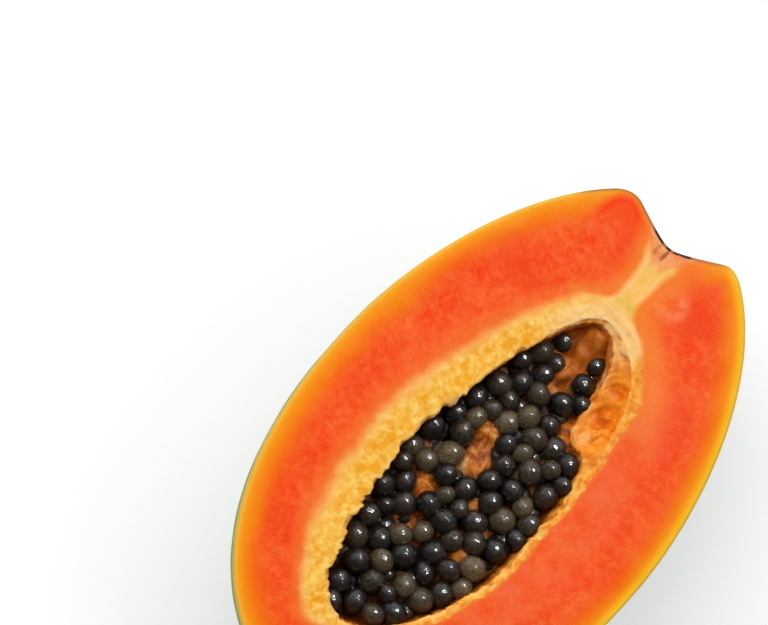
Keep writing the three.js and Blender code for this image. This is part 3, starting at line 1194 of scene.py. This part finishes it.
def pulpMaterial():
    material, tree, shader = newMaterial("papaya_pulp")
    look = pulpLook
    place = objectPlace(tree)
    # the pulp under the seeds is darker, which is painted shade; where it lies bare it keeps its paler
    # own colour
    base = colourRamp(tree, noiseFac(tree, place, 240, 5.0, 0.6, 0.6), look["under"])
    bare = colourRamp(tree, noiseFac(tree, place, 230, 5.0, 0.65, 0.4), look["bare"])
    along = stretched(tree, place, (1.0, 0.4, 1.0))
    tip = colourRamp(tree, noiseFac(tree, along, 150, 4.0, 0.55, 0.6), look["tip"])
    bare = mixColour(tree, times(tree, attribute(tree, "tipPulp"), 0.85), bare, tip)
    base = mixColour(tree, attribute(tree, "bare"), base, bare)
    strand = times(tree, attribute(tree, "strand"), patches(tree, place, 130, 0.40, 0.58), 0.6)
    base = tinted(tree, base, look, (strand, "strand"))
    fill(tree, shader, {
        "Base Color": base,
        "Roughness": 0.45,
        "Specular IOR Level": 0.05,
        "Normal": bump(tree, noiseFac(tree, place, 500), 0.25, 0.0005),
    })
    moist(tree, shader, 0.1, 0.01, 0.12)
    return material


# the pieces, at the fruit's place in the row's frame

def middleOf(values):
    return (min(values) + max(values)) / 2


fruitPiece = makeFruit()
points = [vertex.co for vertex in fruitPiece.data.vertices]
rowShift = Vector((
    (lowCorner.x + highCorner.x) / 2 * metre - middleOf([point.x for point in points]),
    (lowCorner.y + highCorner.y) / 2 * metre - middleOf([point.y for point in points]),
    highCorner.z * metre,
))
seedPiece = makeSeeds()
pulpPiece = makePulp()
for piece in (fruitPiece, seedPiece, pulpPiece):
    piece.data.transform(Matrix.Scale(1 / metre, 4) @ Matrix.Translation(rowShift))
    piece.data.update()
for material in (skinMaterial(), fleshMaterial(), liningMaterial()):
    fruitPiece.data.materials.append(material)
seedPiece.data.materials.append(seedMaterial())
pulpPiece.data.materials.append(pulpMaterial())
for piece in (fruitPiece, seedPiece, pulpPiece):
    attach(piece, "root")
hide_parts("fruit_half")
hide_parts("seeds")
print("pieces placed")


# floor, light and camera

studio = {
    "floorSize": 3.0,
    "floorColour": (214, 214, 216),
    "floorGlow": 0.38,
    "lamps": [  # name, place, size and power, and whether it only shines on gloss
        ("key", (-0.75, -0.05, 0.95), 1.0, 7.3, False),
        ("fill", (0.7, 0.5, 0.9), 0.8, 3.4, False),
        ("glint", (-0.16, 0.50, 0.97), 0.18, 8.0, True),
        ("glint", (0.10, 0.46, 1.0), 0.18, 8.0, True),
    ],
    "skyLow": 0.15,
    "skyHigh": 1.45,
    "skyToward": (-0.62, 0.65, 0.44),  # the sky is brightest there
}
view = {
    "lean": 14.0,  # degrees between the cut face's normal and the line of sight
    "leanTurn": 25.0,  # which way it leans, from the view's right towards its top
    "turn": 43.5,  # the stem end points this far right of the view's top
    "distance": 760.0,
    "scale": 4.15,  # pixels for a millimetre on the cut face
    "aimColumn": 490.0,  # pixel where the aimed spot is seen
    "aimRow": 430.0,
    "aim": (-4.8, 4.0),  # that spot on the cut face, in the fruit's frame
    "width": 768.0,  # of the view, in pixels
    "height": 625.0,
    "sensor": 36.0,
}


def makeFloor():
    floor = addObject("floor", bpy.ops.mesh.primitive_plane_add, size=studio["floorSize"])
    material, tree, shader = newMaterial("floor_white")
    fill(tree, shader, {
        "Base Color": linearColour(*studio["floorColour"]),
        "Roughness": 0.8,
        "Emission Color": (1.0, 1.0, 1.0, 1.0),
        "Emission Strength": studio["floorGlow"],
    })
    floor.data.materials.append(material)


def areaLight(name, place, size, power, shines):
    lamp = addObject(name, bpy.ops.object.light_add, type="AREA", location=place)
    lamp.data.size = size
    lamp.data.energy = power
    lamp.visible_glossy = shines
    lamp.visible_diffuse = not shines
    lamp.rotation_euler = (-Vector(place)).to_track_quat("-Z", "Y").to_euler()


def makeSky():  # bright on one side only, so that the seeds have a light and a dark side
    world = bpy.data.worlds.new("studio")
    bpy.context.scene.world = world
    world.use_nodes = True
    tree = world.node_tree
    place = tree.nodes.new("ShaderNodeTexCoord")
    facing = tree.nodes.new("ShaderNodeVectorMath")
    facing.operation = "DOT_PRODUCT"
    feed(tree, facing.inputs[0], place.outputs["Generated"])
    facing.inputs[1].default_value = studio["skyToward"]
    light = spread(tree, facing.outputs["Value"], 0.3, 1.0, studio["skyLow"], studio["skyHigh"])
    background = tree.nodes["Background"]
    background.inputs["Color"].default_value = (0.97, 0.985, 1.0, 1.0)
    feed(tree, background.inputs["Strength"], light)


def makeCamera():
    lean, leanTurn, turn = (math.radians(view[name]) for name in ("lean", "leanTurn", "turn"))
    normal = Vector((math.sin(lean) * math.cos(leanTurn), math.sin(lean) * math.sin(leanTurn),
                     math.cos(lean)))
    stem = Vector((math.sin(turn), math.cos(turn), 0))
    stem = (stem - normal * stem.dot(normal)).normalized()
    side = stem.cross(normal)
    focal = view["scale"] * view["distance"]
    aimed = Vector((
        (view["aimColumn"] - view["width"] / 2) / focal * view["distance"],
        (view["height"] / 2 - view["aimRow"]) / focal * view["distance"],
        -view["distance"],
    ))
    axes = Matrix((side, stem, normal))  # rows: the row frame's axes as the camera sees them
    aim = Vector((view["aim"][0], view["aim"][1], 0)) + rowShift
    place = (aim - axes @ aimed) / metre
    data = bpy.data.cameras.new("camera")
    data.sensor_width = view["sensor"]
    data.lens = view["sensor"] * focal / view["width"]
    data.clip_start = 0.01
    camera = bpy.data.objects.new("camera", data)
    bpy.context.collection.objects.link(camera)
    camera.matrix_world = Matrix.Translation(place) @ axes.to_4x4()
    bpy.context.scene.camera = camera


makeFloor()
for lamp in studio["lamps"]:
    areaLight(*lamp)
makeSky()
bpy.context.scene.view_settings.view_transform = "Standard"
makeCamera()
print("studio ready")
